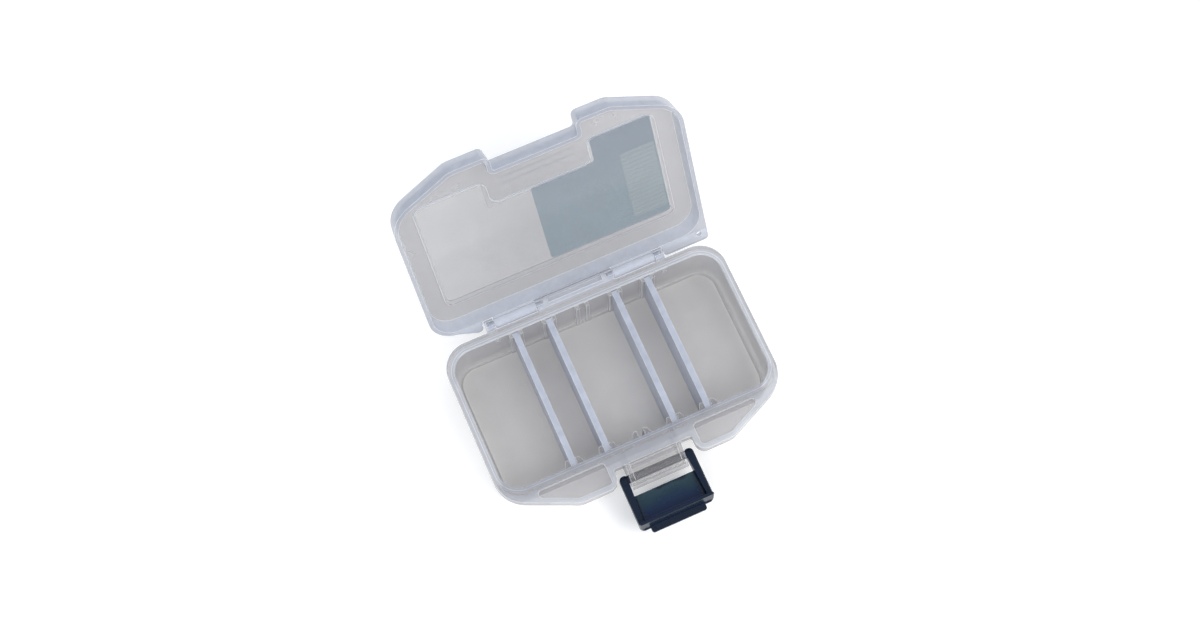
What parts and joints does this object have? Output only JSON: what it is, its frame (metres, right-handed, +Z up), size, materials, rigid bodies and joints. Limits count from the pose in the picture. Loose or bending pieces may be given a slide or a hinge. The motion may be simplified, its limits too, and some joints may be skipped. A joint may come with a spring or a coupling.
{
  "type": "lure box",
  "caption": "Pocket lure box: clear divided tray, hinged clear lid with a label, and a dark snap latch at the front notch.",
  "frame": {"origin": "middle of the tray's flat underside", "axes": "+X along the hinge to the right, +Y from the latch to the hinge, +Z up"},
  "size_m": [0.097, 0.1165, 0.0758],
  "materials": {
    "clear_plastic": "translucent natural polypropylene, lightly frosted",
    "navy_plastic": "dark navy moulded plastic, satin gloss",
    "label_film": "printed film sticker, blue-grey back"
  },
  "bodies": {
    "tray": {"tray": "clear_plastic", "divider_1": "clear_plastic", "divider_2": "clear_plastic", "divider_3": "clear_plastic", "divider_4": "clear_plastic"},
    "lid": {"lid": "clear_plastic", "label": "label_film"},
    "latch": {"latch": "navy_plastic"}
  },
  "joints": [
    {"name": "lid_hinge", "type": "hinge", "parent": "tray", "child": "lid", "pos_m": [0, 0.0291, 0.0182], "axis": [1, 0, 0], "range_deg": [0, 117]},
    {"name": "latch_hinge", "type": "hinge", "parent": "tray", "child": "latch", "pos_m": [0, -0.0335, 0.0113], "axis": [-1, 0, 0], "range_deg": [-20, 95]}
  ]
}
